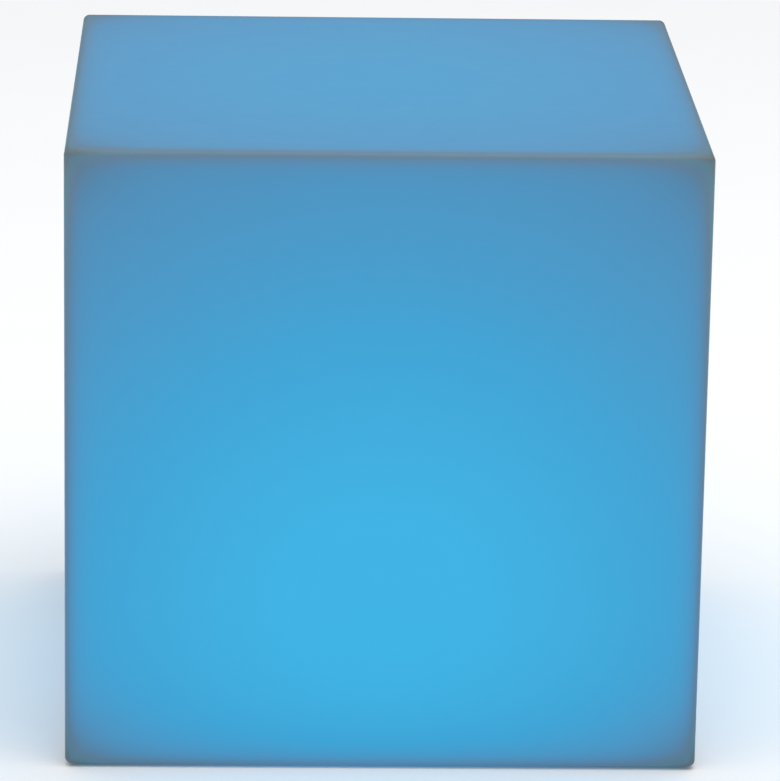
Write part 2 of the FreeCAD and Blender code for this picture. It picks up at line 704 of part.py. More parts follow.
def run_and_bends(label, points, bend, radius):
    """A round lead along upright and level runs, each corner of the route an arc."""
    edges = []
    start = points[0]
    for before, corner, after in zip(points, points[1:], points[2:]):
        inward = (before - corner).normalize()
        outward = (after - corner).normalize()
        first, last = corner + inward * bend, corner + outward * bend
        centre = corner + (inward + outward) * bend
        middle = centre + (corner - centre).normalize() * bend
        if (first - start).Length > 1e-6:
            edges.append(Part.LineSegment(start, first).toShape())
        edges.append(Part.Arc(first, middle, last).toShape())
        start = last
    edges.append(Part.LineSegment(start, points[-1]).toShape())
    path = Part.Wire(edges)
    section = Part.Wire([Part.Circle(points[0], points[1] - points[0], radius).toShape()])
    tube = path.makePipeShell([section], True, False)
    expected = math.pi * radius ** 2 * path.Length
    print(f"{label}: bend radius {bend} mm, volume {tube.Volume / expected:.4f} of section x length")
    lead = doc.addObject("Part::Feature", label)
    lead.Label = label
    lead.Shape = tube
    lead.Placement = FreeCAD.Placement()


def arch(label, x, start, end, foot, top, last, bend, radius):
    """A lead that rises at one place, turns over in a half circle and comes down at another."""
    rows = [(start, foot), (start, top), (end, top), (end, last)]
    points = [FreeCAD.Vector(x, value(y), value(z)) for y, z in rows]
    run_and_bends(label, points, value(bend), value(radius))


def battery_leads():
    """From the protection board's face up, over, and down into the plug."""
    for name, side in (("battery_lead_red", -0.5), ("battery_lead_black", 0.5)):
        x = value("guard_across") + side * value("lead_pitch")
        arch(name, x, "lead_row", "battery_plug_y", "cup_floor + tray_high - guard_high / 2",
             "plug_top + lead_exit + lead_bend", "plug_top", "lead_bend", "lead_radius")


def led_leads():
    """From the LED plug through both slots, over, and down to the pads on the LED board."""
    wires = round(value("led_wire_count"))
    names = ["red", "green", "blue", "common"]
    for number in range(wires):
        x = (number - (wires - 1) / 2) * value("lead_pitch")
        name = names[number] if number < len(names) else str(number)
        arch("led_lead_" + name, x, "slot_y", "pad_y", "plug_top",
             "led_board_top + lead_exit + wire_bend", "led_board_top", "wire_bend", "wire_radius")


# ------------------------------------------------------------------- button and its spring

def power_button():
    """Cap, shoulder and stem in one, with a groove for its ring."""
    body = new_body("power_button", "button_across", "board_front", "plate_under - button_proud")
    cap = "button_proud + plate_thick"
    groove = "button_proud + plate_thick / 2"
    deep = "button_radius + slide_gap - ring_gap - 2 * ring_radius - ring_gap"
    turned(body, [("0", "0"), ("button_radius - button_edge", "0"), ("button_radius", "button_edge"),
                  ("button_radius", groove + " - ring_radius - ring_gap"),
                  (deep, groove + " - ring_radius - ring_gap"),
                  (deep, groove + " + ring_radius + ring_gap"),
                  ("button_radius", groove + " + ring_radius + ring_gap"), ("button_radius", cap),
                  ("button_radius + button_lip", cap), ("button_radius + button_lip", cap + " + shoulder_high"),
                  ("stem_radius", cap + " + shoulder_high"),
                  ("stem_radius", cap + " + board_lift - touch_gap - travel - pill_high"),
                  ("0", cap + " + board_lift - touch_gap - travel - pill_high")])


def button_seal():
    ring = doc.addObject("Part::Torus", "button_seal")
    ring.Label = "button_seal"
    ring.setExpression("Radius1", formula("button_radius + slide_gap - ring_gap - ring_radius"))
    ring.setExpression("Radius2", formula("ring_radius"))
    ring.setExpression("Placement.Base.x", formula("button_across"))
    ring.setExpression("Placement.Base.y", formula("board_front"))
    ring.setExpression("Placement.Base.z", formula("plate_under + plate_thick / 2"))


def biarc(start, heading, end, arrival):
    """Two arcs that join two points with the given directions."""
    chord = end - start
    total = heading + arrival
    a = 2 * (1 - heading.dot(arrival))
    b = 2 * chord.dot(total)
    c = -chord.dot(chord)
    reach = (-b + math.sqrt(b * b - 4 * a * c)) / (2 * a)
    joint = (start + heading * reach + end - arrival * reach) * 0.5
    arcs = []
    for first, way, last in ((start, heading, joint), (end, arrival * -1, joint)):
        span = last - first
        aside = (span - way * span.dot(way)).normalize()
        radius = span.dot(span) / (2 * span.dot(aside))
        centre = first + aside * radius
        middle = centre + ((first + last) * 0.5 - centre).normalize() * radius
        arcs.append((first, middle, last))
    arcs[1] = arcs[1][::-1]
    return [Part.Arc(*arc).toShape() for arc in arcs]


def button_spring():
    """A compression spring between the button's shoulder and the control board."""
    wire, radius = value("spring_wire / 2"), value("spring_radius")
    low = value("cup_floor + shoulder_high + seat") + wire
    high = value("board_under - seat") - wire
    quarters = 4 * round(value("spring_turns"))
    pitch = (high - low) / (quarters / 4)

    def at(quarter):
        angle = quarter * math.pi / 2
        return FreeCAD.Vector(radius * math.cos(angle), radius * math.sin(angle),
                              low + pitch * quarter / 4)

    def heading(quarter):
        angle = quarter * math.pi / 2
        way = FreeCAD.Vector(-math.sin(angle), math.cos(angle), pitch / (2 * math.pi * radius))
        return way.normalize()

    edges = []
    for quarter in range(quarters):
        edges += biarc(at(quarter), heading(quarter), at(quarter + 1), heading(quarter + 1))
    section = Part.Wire([Part.Circle(at(0), heading(0), wire).toShape()])
    tube = Part.Wire(edges).makePipeShell([section], True, False)
    print(f"button_spring: least gap between turns {pitch - 2 * wire:.2f} mm")
    spring = doc.addObject("Part::Feature", "button_spring")
    spring.Label = "button_spring"
    spring.Shape = tube
    spring.Placement = FreeCAD.Placement(
        FreeCAD.Vector(value("button_across"), value("board_front"), 0), FreeCAD.Rotation())


def contact_pill():
    disc("contact_pill", "pill_radius", "board_under - touch_gap - travel - pill_high", "pill_high",
         "button_across", "board_front")


# ------------------------------------------------------------------------- charge port

def charge_socket():
    """An upright low-voltage socket between the plate and the control board."""
    body = new_body("charge_socket", "port_across", "board_front", "port_mouth")
    seat = "cup_floor + washer_thick - port_mouth"
    top = "board_under - port_mouth"
    turned(body, [("jack_bore", "0"), ("jack_radius", "0"), ("jack_radius", seat),
                  ("jack_radius + jack_lip", seat), ("jack_radius + jack_lip", seat + " + jack_shoulder"),
                  ("jack_body", seat + " + jack_shoulder"), ("jack_body", top),
                  ("pin_radius + seat", top), ("pin_radius + seat", "jack_deep"),
                  ("jack_bore", "jack_deep")])
    body = new_body("socket_centre_pin", "port_across", "board_front", "port_mouth + pin_recess")
    turned(body, [("0", "0"), ("pin_radius", "0"), ("pin_radius", "board_under - port_mouth - pin_recess"),
                  ("tail_radius", "board_under - port_mouth - pin_recess"),
                  ("tail_radius", "board_top + tail_high - port_mouth - pin_recess"),
                  ("0", "board_top + tail_high - port_mouth - pin_recess")])
    body = new_body("socket_seal", "port_across", "board_front", "cup_floor")
    sketch = new_sketch(body)
    add_circle(sketch, "jack_radius + jack_lip")
    add_circle(sketch, "jack_radius + slide_gap")
    pad(body, sketch, "washer_thick")


def port_plug():
    """Flap, strap and stub: it turns down about the strap's root, on the plate's outer face."""
    body = new_body("port_plug", "port_across", "board_front", "plate_under")
    sketch = new_sketch(body)
    add_circle(sketch, "flap_radius")
    pad(body, sketch, "flap_thick - touch_gap")
    strap = new_sketch(body)
    add_rectangle(strap, "hinge_reach - hinge_gap", "strap_width", "(hinge_reach - hinge_gap) / 2", "0")
    pad(body, strap, "flap_thick - touch_gap")
    turned(body, [("0", "flap_thick / 2"), ("stub_root", "flap_thick / 2"),
                  ("stub_root", "flap_thick"), ("stub_tip", "flap_thick + stub_high"),
                  ("0", "flap_thick + stub_high")])


def plug_anchor():
    """The end of the strap that stays: a block in the channel with a peg through the plate."""
    middle = "hinge_x + hinge_gap + anchor_length / 2"
    body = new_body("plug_anchor", middle, "board_front", "plate_under")
    sketch = new_sketch(body)
    add_rectangle(sketch, "anchor_length", "strap_width")
    pad(body, sketch, "flap_thick")
    peg = new_sketch(body)
    add_circle(peg, "peg_radius")
    pad(body, peg, "plate_thick + peg_head_high")
    head = new_sketch(body, "plate_thick")
    add_circle(head, "peg_head")
    pad(body, head, "peg_head_high")


def indicator():
    body = new_body("indicator_light_pipe", "pipe_across", "board_front", "plate_under")
    turned(body, [("0", "0"), ("pipe_radius", "0"), ("pipe_radius", "plate_thick"),
                  ("pipe_radius + pipe_lip", "plate_thick"),
                  ("pipe_radius + pipe_lip", "plate_thick + pipe_lip_high"),
                  ("pipe_radius", "plate_thick + pipe_lip_high"),
                  ("pipe_radius", "pipe_top - plate_under"), ("0", "pipe_top - plate_under")])
    block("indicator_led", "lamp_long", "lamp_wide", "lamp_high", "pipe_across", "board_front",
          "board_under - lamp_high")


# ------------------------------------------------------------------------------- assembly

cube_shell()
threaded_inserts()
foot_pads()
base_gasket()
base_housing()
base_screws()
heat_spreader()
led_disc("thermal_pad", "spreader_top", "thermal_thick")
led_disc("led_board", "led_base", "led_board_thick")
led_packages("led_packages_inner", "inner_led_circle", "inner_leds")
led_packages("led_packages_outer", "outer_led_circle", "outer_leds")
led_board_screws()
block("infrared_receiver", "eye_width", "eye_depth", "eye_height", "0", "0", "led_board_top")
dome_seal()
dome_cover()
dome_screws()
battery_cells()
nickel_strips()
battery_tray()
battery_clamp()
screws("clamp_screws", [("clamp_across", "post_near"), ("clamp_across", "post_far")],
       "small_head", "small_head_high", "small_shank", "clamp_thick + small_length", "clamp_top")
protection_board()
control_board()
board_parts()
connector("battery_connector", "2 * lead_pitch + plug_margin", "guard_across", "battery_plug_y")
connector("led_connector", "led_plug_length", "0", "led_plug_y")
board_corners = [(x, f"board_front + {y}".replace("+ -", "- "))
                 for x, y in four_corners("board_screw_x", "board_screw_y")]
screws("control_board_screws", board_corners, "small_head", "small_head_high", "small_shank",
       "board_thick + small_length", "board_top")
battery_leads()
led_leads()
power_button()
button_seal()
contact_pill()
button_spring()
charge_socket()
plug_anchor()
port_plug()
indicator()

doc.recompute()
os.makedirs("parts", exist_ok=True)
pieces = [item for item in doc.Objects
          if item.TypeId in ("PartDesign::Body", "Part::Feature", "Part::Torus")]
for item in doc.Objects:
    if "Invalid" in item.State or "Error" in item.State:
        raise RuntimeError(f"{item.Name} failed: {item.State}")
for piece in pieces:
    if piece.Shape.isNull() or not piece.Shape.isValid() or not piece.Shape.Solids:
        raise RuntimeError(f"{piece.Label} is not a sound solid")
for piece in pieces:
    piece.Shape.exportStep(f"parts/{piece.Label}.step")
print(len(pieces), "pieces")
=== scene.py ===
"""A garden cube light, dressed around its construction model, with its stage and camera."""

import math

import bmesh
import bpy
from mathutils import Matrix, Vector


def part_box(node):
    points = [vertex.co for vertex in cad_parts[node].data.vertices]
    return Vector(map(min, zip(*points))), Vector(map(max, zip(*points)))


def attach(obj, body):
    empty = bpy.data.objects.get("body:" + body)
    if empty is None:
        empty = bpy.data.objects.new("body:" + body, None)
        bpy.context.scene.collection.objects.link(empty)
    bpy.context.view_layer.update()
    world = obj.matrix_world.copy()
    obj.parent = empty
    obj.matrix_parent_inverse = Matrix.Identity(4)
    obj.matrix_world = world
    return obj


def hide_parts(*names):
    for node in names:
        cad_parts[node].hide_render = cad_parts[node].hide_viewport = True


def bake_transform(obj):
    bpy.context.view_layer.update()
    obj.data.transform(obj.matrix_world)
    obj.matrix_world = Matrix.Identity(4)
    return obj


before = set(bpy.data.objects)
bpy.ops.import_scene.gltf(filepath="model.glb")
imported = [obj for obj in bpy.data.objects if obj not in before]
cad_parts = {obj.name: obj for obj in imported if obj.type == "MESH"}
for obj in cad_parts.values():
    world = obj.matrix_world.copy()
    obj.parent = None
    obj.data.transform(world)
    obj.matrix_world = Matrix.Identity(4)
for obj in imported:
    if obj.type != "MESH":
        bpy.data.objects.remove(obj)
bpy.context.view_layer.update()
SHELL_LOW, SHELL_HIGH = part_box("cube_shell")
SIDE = SHELL_HIGH.x - SHELL_LOW.x
MILLIMETRE = 0.001

bl_info = {
    "name": "Cube light",
    "version": (1, 0, 0),
    "blender": (4, 5, 0),
    "location": "3D View > Sidebar > Cube light",
    "description": "Finishes a glowing garden cube light and sets its stage",
    "category": "Object",
}


# ------------------------------------------------------------------------------- colours

def srgb(text):
    """Linear red, green and blue of an sRGB hex colour."""
    parts = [int(text[place:place + 2], 16) / 255 for place in (1, 3, 5)]
    return [part / 12.92 if part <= 0.04045 else ((part + 0.055) / 1.055) ** 2.4 for part in parts]


def colour_property(name, hex_colour, description):
    """A colour that a user can change, with an sRGB hex default."""
    return bpy.props.FloatVectorProperty(name=name, description=description, subtype="COLOR",
                                         size=3, min=0, max=1, default=srgb(hex_colour))


class CubeLightShell(bpy.types.PropertyGroup):
    """How the lit shell looks: colours from its dim corners to its brightest place."""
    deep: colour_property("Deep corner light", "#475963", "Light where three thick edges meet")
    edge: colour_property("Edge light", "#426D82", "Light through the thick edges")
    corner: colour_property("Corner light", "#4A6E8B", "Light beside the edges")
    far: colour_property("Far light", "#417AA2", "Light through the far corners of a wall")
    dim: colour_property("Dim light", "#3989B9", "Light through the far parts of the walls")
    middle: colour_property("Middle light", "#229BCE", "Light through the middle of the walls")
    bright: colour_property("Brightest light", "#1FABDE", "Light nearest to the lamp")
    skin: colour_property("Skin", "#31393E", "The plastic's own colour under the room's light")
    # painted light: a paler base colour at the upper edges, standing in for the ceiling's light
    # coming back out of them
    painted_edge_light: colour_property("Upper edge skin", "#5A5C58",
                               "Milky colour where the ceiling's light comes back out of an edge")
    lamp_height: bpy.props.FloatProperty(
        name="Lamp height", description="Middle of the light inside, as a share of the side",
        default=0.246, min=0, max=1, subtype="FACTOR")
    spread: bpy.props.FloatProperty(
        name="Spread", description="How fast the light falls off along a wall", default=0.4169)
    falloff: bpy.props.FloatProperty(
        name="Falloff", description="Power of the light's fall with distance", default=1.1946)
    scattered: bpy.props.FloatProperty(
        name="Scattered light", description="Light that has gone round the hollow", default=0.0899)
    direct: bpy.props.FloatProperty(
        name="Direct light", description="Light straight from the lamp", default=0.1313)
    edge_loss: bpy.props.FloatProperty(
        name="Edge loss", description="Share of a faint light lost at the thick edges",
        default=0.963, min=0, max=1, subtype="FACTOR")
    edge_leak: bpy.props.FloatProperty(
        name="Edge leak", description="How much less of a strong light the thick edges lose",
        default=1.1)
    # painted light: how much of the paler upper edge colour is painted on the top face
    painted_light_on_top: bpy.props.FloatProperty(
        name="Milk on top", description="Share of the milky edge colour left on the top face",
        default=0.3, min=0, max=1, subtype="FACTOR")
    edge_width: bpy.props.FloatProperty(
        name="Edge width", description="How far the darker edge reaches into a face",
        default=5.04 * MILLIMETRE, unit="LENGTH", precision=4)
    foot_loss: bpy.props.FloatProperty(
        name="Foot loss", description="Share of the light lost at the foot of the walls",
        default=0.287, min=0, max=1, subtype="FACTOR")
    foot_width: bpy.props.FloatProperty(
        name="Foot width", description="How far the darker foot reaches up a wall",
        default=32 * MILLIMETRE, unit="LENGTH", precision=4)
    corner_loss: bpy.props.FloatProperty(
        name="Upper corner loss", description="Share of the light lost at the upper corners",
        default=0.62, min=0, max=1, subtype="FACTOR")
    low_corner_loss: bpy.props.FloatProperty(
        name="Lower corner loss", description="Share of the light lost at the lower corners",
        default=0.66, min=0, max=1, subtype="FACTOR")
    corner_width: bpy.props.FloatProperty(
        name="Corner width", description="How far a darker corner reaches into the faces",
        default=18 * MILLIMETRE, unit="LENGTH", precision=4)
    waviness: bpy.props.FloatProperty(
        name="Waviness", description="Spacing of the moulding's faint waves",
        default=9 * MILLIMETRE, unit="LENGTH", precision=4)


class CubeLightUnderside(bpy.types.PropertyGroup):
    """Small moulded forms on the lamp unit, under the cube."""
    ridge_radius: bpy.props.FloatProperty(
        name="Button ridge radius", description="Middle of the ridge that a finger feels for",
        default=5.6 * MILLIMETRE, unit="LENGTH", precision=4)
    ridge_width: bpy.props.FloatProperty(
        name="Button ridge width", description="Width of the ridge on the button",
        default=0.9 * MILLIMETRE, unit="LENGTH", precision=4)
    ridge_height: bpy.props.FloatProperty(
        name="Button ridge height", description="How far the ridge stands out",
        default=0.3 * MILLIMETRE, unit="LENGTH", precision=5)
    web_thickness: bpy.props.FloatProperty(
        name="Hinge web thickness", description="Thickness of the plug's strap where it bends",
        default=0.5 * MILLIMETRE, unit="LENGTH", precision=5)
    web_grip: bpy.props.FloatProperty(
        name="Hinge web grip", description="How far the web runs into the strap and its anchor",
        default=0.8 * MILLIMETRE, unit="LENGTH", precision=5)


class CubeLightStage(bpy.types.PropertyGroup):
    """The camera, which stands as the photograph's did, and the stage."""
    turn: bpy.props.FloatProperty(
        name="Turn", description="Camera's turn round the cube, from straight ahead",
        default=math.radians(-1.83), subtype="ANGLE", unit="ROTATION")
    height_angle: bpy.props.FloatProperty(
        name="Height angle", description="Angle at which the camera looks down",
        default=math.radians(16.27), subtype="ANGLE", unit="ROTATION")
    roll: bpy.props.FloatProperty(
        name="Roll", description="Camera's roll", default=math.radians(0.96),
        subtype="ANGLE", unit="ROTATION")
    distance: bpy.props.FloatProperty(
        name="Distance", description="From the camera to the cube's middle",
        default=8.3538 * SIDE, unit="LENGTH")
    right: bpy.props.FloatProperty(
        name="Sideways", description="Cube's middle to the right of the view's middle",
        default=-0.0207 * SIDE, unit="LENGTH", precision=4)
    down: bpy.props.FloatProperty(
        name="Down", description="Cube's middle below the view's middle",
        default=-0.0235 * SIDE, unit="LENGTH", precision=4)
    lens: bpy.props.FloatProperty(
        name="Lens", description="Focal length on a 36 mm sensor", default=232.94)
    floor: colour_property("Floor", "#F4F5F6", "Pale floor")
    walls: bpy.props.FloatProperty(
        name="Light from the walls", description="Strength of the room's light at the horizon",
        default=0.1)
    ceiling: bpy.props.FloatProperty(
        name="Light from the ceiling", description="Strength of the room's light straight above",
        default=1.25)
    overhead: bpy.props.FloatProperty(
        name="Overhead light", description="Power of the soft light above", default=30,
        unit="POWER")


# --------------------------------------------------------------------------- node helper

def add(tree, kind, sockets=None, **settings):
    """Adds a node, sets its settings, and links or sets its sockets."""
    made = tree.nodes.new("ShaderNode" + kind)
    for name, setting in settings.items():
        setattr(made, name, setting)
    for socket, source in (sockets or {}).items():
        if isinstance(source, bpy.types.NodeSocket):
            tree.links.new(source, made.inputs[socket])
        else:
            made.inputs[socket].default_value = source
    return made


def new_material(name):
    """An empty node material and its Principled shader, wired to the output."""
    material = bpy.data.materials.new(name)
    material.use_nodes = True
    tree = material.node_tree
    tree.nodes.clear()
    shader = add(tree, "BsdfPrincipled")
    add(tree, "OutputMaterial", {"Surface": shader.outputs["BSDF"]})
    return material, tree, shader


def set_sockets(shader, **values):
    """Sets plain values on a shader's own sockets, named with underscores for spaces."""
    for name, value in values.items():
        shader.inputs[name.replace("_", " ")].default_value = value


def tinted_grain(tree, colour, amount, size):
    """A colour that varies a little, in spots of a real size."""
    place = add(tree, "TexCoord").outputs["Object"]
    spots = add(tree, "TexNoise", {"Vector": place, "Scale": 1 / size, "Detail": 3.0})
    dark = [part * (1 - amount) for part in colour] + [1]
    light = [min(1, part * (1 + amount)) for part in colour] + [1]
    mixed = add(tree, "Mix", {0: spots.outputs["Fac"], 6: dark, 7: light}, data_type="RGBA")
    return mixed.outputs[2]


def skin_bump(tree, size, height):
    """A bumpy skin whose bumps have a real size and height."""
    place = add(tree, "TexCoord").outputs["Object"]
    bumps = add(tree, "TexNoise", {"Vector": place, "Scale": 1 / size, "Detail": 2.0})
    bump = add(tree, "Bump", {"Height": bumps.outputs["Fac"], "Distance": height, "Strength": 1.0})
    return bump.outputs["Normal"]


def varied_roughness(tree, low, high, size):
    """A roughness that wanders between two values, in spots of a real size."""
    place = add(tree, "TexCoord").outputs["Object"]
    spots = add(tree, "TexNoise", {"Vector": place, "Scale": 1 / size, "Detail": 4.0})
    scaled = add(tree, "MapRange", {"Value": spots.outputs["Fac"], "From Min": 0.3, "From Max": 0.7,
                                    "To Min": low, "To Max": high})
    return scaled.outputs["Result"]


# --------------------------------------------------------------------- the lit shell

def rotomoulded_polyethylene(look):
    """Rotomoulded polyethylene, lit from inside.

    Satin, milky, with the oven-moulded skin's faint waves. The lamp's light is painted into
    the surface as a glow, brightest where the lamp is nearest and fading towards the far corners;
    the edges, where the wall is thick, let less of it through and look greyer, as painted shade,
    and so do the foot and the corners.
    """
    material, tree, shader = new_material("rotomoulded_polyethylene_lit")
    middle = (SHELL_LOW + SHELL_HIGH) / 2
    half = SIDE / 2
    lamp = (middle.x, middle.y, SHELL_LOW.z + look.lamp_height * SIDE)
    grazing = 0.05      # least share of the lamp's light that a wall seen from its edge gets
    unevenness = 0.02   # how much thicker and thinner places of the wall change the light
    # painted light: power by which the paler colour painted at the upper edges gathers towards the
    # top
    towards_top = 3.0   # power by which the milky edge colour gathers at the top

    # how far the place is from the lamp, in sides: away from the wall, and along it
    places = add(tree, "TexCoord").outputs
    from_lamp = add(tree, "VectorMath", {0: places["Object"], 1: lamp}, operation="SUBTRACT")
    in_sides = add(tree, "VectorMath", {0: from_lamp.outputs[0], "Scale": 1 / SIDE},
                   operation="SCALE").outputs[0]
    outward = add(tree, "VectorMath", {0: in_sides, 1: places["Normal"]}, operation="DOT_PRODUCT")
    whole = add(tree, "VectorMath", {0: in_sides, 1: in_sides}, operation="DOT_PRODUCT")
    facing = add(tree, "Math", {0: outward.outputs["Value"], 1: grazing},
                 operation="MAXIMUM").outputs[0]
    squared = add(tree, "Math", {0: facing, 1: facing}, operation="MULTIPLY").outputs[0]
    rest = add(tree, "Math", {0: whole.outputs["Value"], 1: squared}, operation="SUBTRACT")
    along = add(tree, "Math", {0: rest.outputs[0], 1: 0.0}, operation="MAXIMUM")

    # the light that reaches the wall: from the lamp, and from all round the hollow
    reach = add(tree, "Math", {0: along.outputs[0], 1: look.spread, 2: squared},
                operation="MULTIPLY_ADD")
    fallen = add(tree, "Math", {0: reach.outputs[0], 1: look.falloff}, operation="POWER")
    direct = add(tree, "Math", {0: facing, 1: fallen.outputs[0]}, operation="DIVIDE")
    lit = add(tree, "Math", {0: direct.outputs[0], 1: look.direct, 2: look.scattered},
              operation="MULTIPLY_ADD").outputs[0]

    # the nearest edge of the cube is as far as the second nearest of its faces
    from_middle = add(tree, "VectorMath", {0: places["Object"], 1: tuple(middle)},
                      operation="SUBTRACT")
    mirrored = add(tree, "VectorMath", {0: from_middle.outputs[0]}, operation="ABSOLUTE")
    to_faces = add(tree, "VectorMath", {0: (half, half, half), 1: mirrored.outputs[0]},
                   operation="SUBTRACT").outputs[0]
    gaps = add(tree, "SeparateXYZ", {0: to_faces}).outputs
    nearer = add(tree, "Math", {0: gaps[0], 1: gaps[1]}, operation="MINIMUM").outputs[0]
    farther = add(tree, "Math", {0: gaps[0], 1: gaps[1]}, operation="MAXIMUM").outputs[0]
    second = add(tree, "Math", {0: farther, 1: gaps[2]}, operation="MINIMUM").outputs[0]
    median = add(tree, "Math", {0: nearer, 1: second}, operation="MAXIMUM").outputs[0]
    to_edge = add(tree, "Math", {0: median, 1: 0.0}, operation="MAXIMUM").outputs[0]
    to_corner = add(tree, "VectorMath", {0: to_faces}, operation="LENGTH").outputs["Value"]
    level = add(tree, "SeparateXYZ", {0: places["Object"]}).outputs["Z"]
    height = add(tree, "Math", {0: level, 1: SHELL_LOW.z}, operation="SUBTRACT").outputs[0]

    # painted shade: the glow is darkened at the edges, the foot and the corners, each fading away
    # from there
    edge_loss = add(tree, "Math", {0: lit, 1: look.edge_leak, 2: -look.edge_loss},
                    operation="MULTIPLY_ADD").outputs[0]
    corner_change = (look.low_corner_loss - look.corner_loss) / SIDE
    corner_loss = add(tree, "Math", {0: height, 1: corner_change, 2: -look.low_corner_loss},
                      operation="MULTIPLY_ADD").outputs[0]
    fades, kept = [], lit
    for distance, width, loss in ((to_edge, look.edge_width, edge_loss),
                                  (height, look.foot_width, -look.foot_loss),
                                  (to_corner, look.corner_width, corner_loss)):
        scaled = add(tree, "Math", {0: distance, 1: -1 / width}, operation="MULTIPLY")
        fades.append(add(tree, "Math", {0: scaled.outputs[0]}, operation="EXPONENT").outputs[0])
        share = add(tree, "Math", {0: fades[-1], 1: loss, 2: 1.0}, operation="MULTIPLY_ADD")
        kept = add(tree, "Math", {0: kept, 1: share.outputs[0]}, operation="MULTIPLY").outputs[0]

    # uneven wall: faint cloudy patches a few centimetres across
    clouds = add(tree, "TexNoise", {"Vector": places["Object"], "Scale": 1 / (45 * MILLIMETRE),
                                    "Detail": 2.0})
    patchy = add(tree, "Math", {0: clouds.outputs["Fac"], 1: unevenness, 2: 1 - unevenness / 2},
                 operation="MULTIPLY_ADD")
    glow = add(tree, "Math", {0: kept, 1: patchy.outputs[0]}, operation="MULTIPLY")
    stops = [(0.065, look.deep), (0.10, look.edge), (0.15, look.corner), (0.19, look.far),
             (0.25, look.dim), (0.33, look.middle), (0.42, look.bright)]
    ramp = add(tree, "ValToRGB", {"Fac": glow.outputs[0]})
    while len(ramp.color_ramp.elements) < len(stops):
        ramp.color_ramp.elements.new(0.5)
    for element, (amount, colour) in zip(ramp.color_ramp.elements, stops):
        element.position = amount
        element.color = (*colour, 1)
    tree.links.new(ramp.outputs["Color"], shader.inputs["Emission Color"])

    # painted light: the base colour is made paler near the upper edges, mostly on the side faces,
    # for the ceiling's light coming back milky out of the thick edges
    share_up = add(tree, "Math", {0: height, 1: 1 / SIDE}, operation="MULTIPLY").outputs[0]
    not_below = add(tree, "Math", {0: share_up, 1: 0.0}, operation="MAXIMUM").outputs[0]
    gathered = add(tree, "Math", {0: not_below, 1: towards_top}, operation="POWER").outputs[0]
    near_edge = add(tree, "Math", {0: fades[0], 1: gathered}, operation="MULTIPLY").outputs[0]
    upwards = add(tree, "SeparateXYZ", {0: places["Normal"]}).outputs["Z"]
    sideways = add(tree, "Math", {0: upwards, 1: look.painted_light_on_top - 1, 2: 1.0},
                   operation="MULTIPLY_ADD").outputs[0]
    # painted light: this mask is where the paler upper edge colour is painted
    milky = add(tree, "Math", {0: near_edge, 1: sideways}, operation="MULTIPLY").outputs[0]
    skin = add(tree, "Mix", {0: milky, 6: tinted_grain(tree, look.skin, 0.03, 30 * MILLIMETRE),
                             7: (*look.painted_edge_light, 1)}, data_type="RGBA")
    tree.links.new(skin.outputs[2], shader.inputs["Base Color"])
    tree.links.new(varied_roughness(tree, 0.40, 0.50, 14 * MILLIMETRE), shader.inputs["Roughness"])
    tree.links.new(skin_bump(tree, look.waviness, 0.008 * MILLIMETRE), shader.inputs["Normal"])
    set_sockets(shader, Emission_Strength=1.0, IOR=1.51, Specular_IOR_Level=0.25)
    return material


# ------------------------------------------------------------------------ plain finishes

def plastic(name, hex_colour, roughness, grain, relief, ior=1.53):
    """A moulded plastic: even colour, a fine eroded or polished skin, soft highlights."""
    material, tree, shader = new_material(name)
    colour = tinted_grain(tree, srgb(hex_colour), 0.05, 6 * MILLIMETRE)
    rough = varied_roughness(tree, roughness * 0.85, min(1, roughness * 1.15), 3 * MILLIMETRE)
    tree.links.new(colour, shader.inputs["Base Color"])
    tree.links.new(rough, shader.inputs["Roughness"])
    tree.links.new(skin_bump(tree, grain, relief), shader.inputs["Normal"])
    set_sockets(shader, IOR=ior)
    return material


def moulded_abs_white():
    """ABS with a fine spark-eroded skin: soft off-white, no sharp reflections."""
    return plastic("moulded_abs_white", "#DDE2E4", 0.48, 0.5 * MILLIMETRE, 0.02 * MILLIMETRE)


def moulded_abs_graphite():
    """ABS, moulded, dark grey, with a roughness that varies a little at random."""
    return plastic("moulded_abs_graphite", "#3A4044", 0.38, 0.6 * MILLIMETRE, 0.012 * MILLIMETRE)


def moulded_abs_black():
    """ABS, black, moulded: satin, with soft wide highlights."""
    return plastic("moulded_abs_black", "#242629", 0.45, 0.8 * MILLIMETRE, 0.02 * MILLIMETRE)


def moulded_rubber():
    """Natural rubber: near black, dull, with faint paler spots."""
    return plastic("moulded_rubber", "#26272A", 0.82, 0.7 * MILLIMETRE, 0.05 * MILLIMETRE, 1.52)


def moulded_silicone(tone):
    """Silicone rubber: soft sheen, slightly greasy."""
    material = plastic("moulded_silicone_" + tone, {"pale": "#D5D6D2", "dark": "#2C2D30"}[tone],
                       0.55, 1.2 * MILLIMETRE, 0.02 * MILLIMETRE, 1.41)
    material.node_tree.nodes["Principled BSDF"].inputs["Sheen Weight"].default_value = 0.15
    return material


def moulded_nylon(tone):
    """Nylon connector plastic: waxy, natural or black."""
    return plastic("moulded_nylon_" + tone, {"natural": "#E4E0CF", "black": "#1E1F21"}[tone],
                   0.42, 1.0 * MILLIMETRE, 0.01 * MILLIMETRE)


def epoxy_package():
    """Moulded epoxy chip package: black, fine, matt."""
    return plastic("epoxy_package", "#1D1E20", 0.6, 0.3 * MILLIMETRE, 0.01 * MILLIMETRE, 1.55)


def sintered_ferrite():
    """Sintered ferrite: dark grey, dull, granular."""
    return plastic("sintered_ferrite", "#34353A", 0.7, 0.4 * MILLIMETRE, 0.03 * MILLIMETRE, 1.6)


def shrink_sleeve():
    """Heat-shrunk film over a steel can: smooth, glossy, with faint ripples."""
    return plastic("shrink_sleeve", "#2C6FA6", 0.22, 5 * MILLIMETRE, 0.05 * MILLIMETRE, 1.54)


def wire_insulation(name, hex_colour):
    """Extruded silicone insulation: smooth and soft."""
    return plastic("silicone_insulation_" + name, hex_colour, 0.4, 2 * MILLIMETRE,
                   0.01 * MILLIMETRE, 1.42)


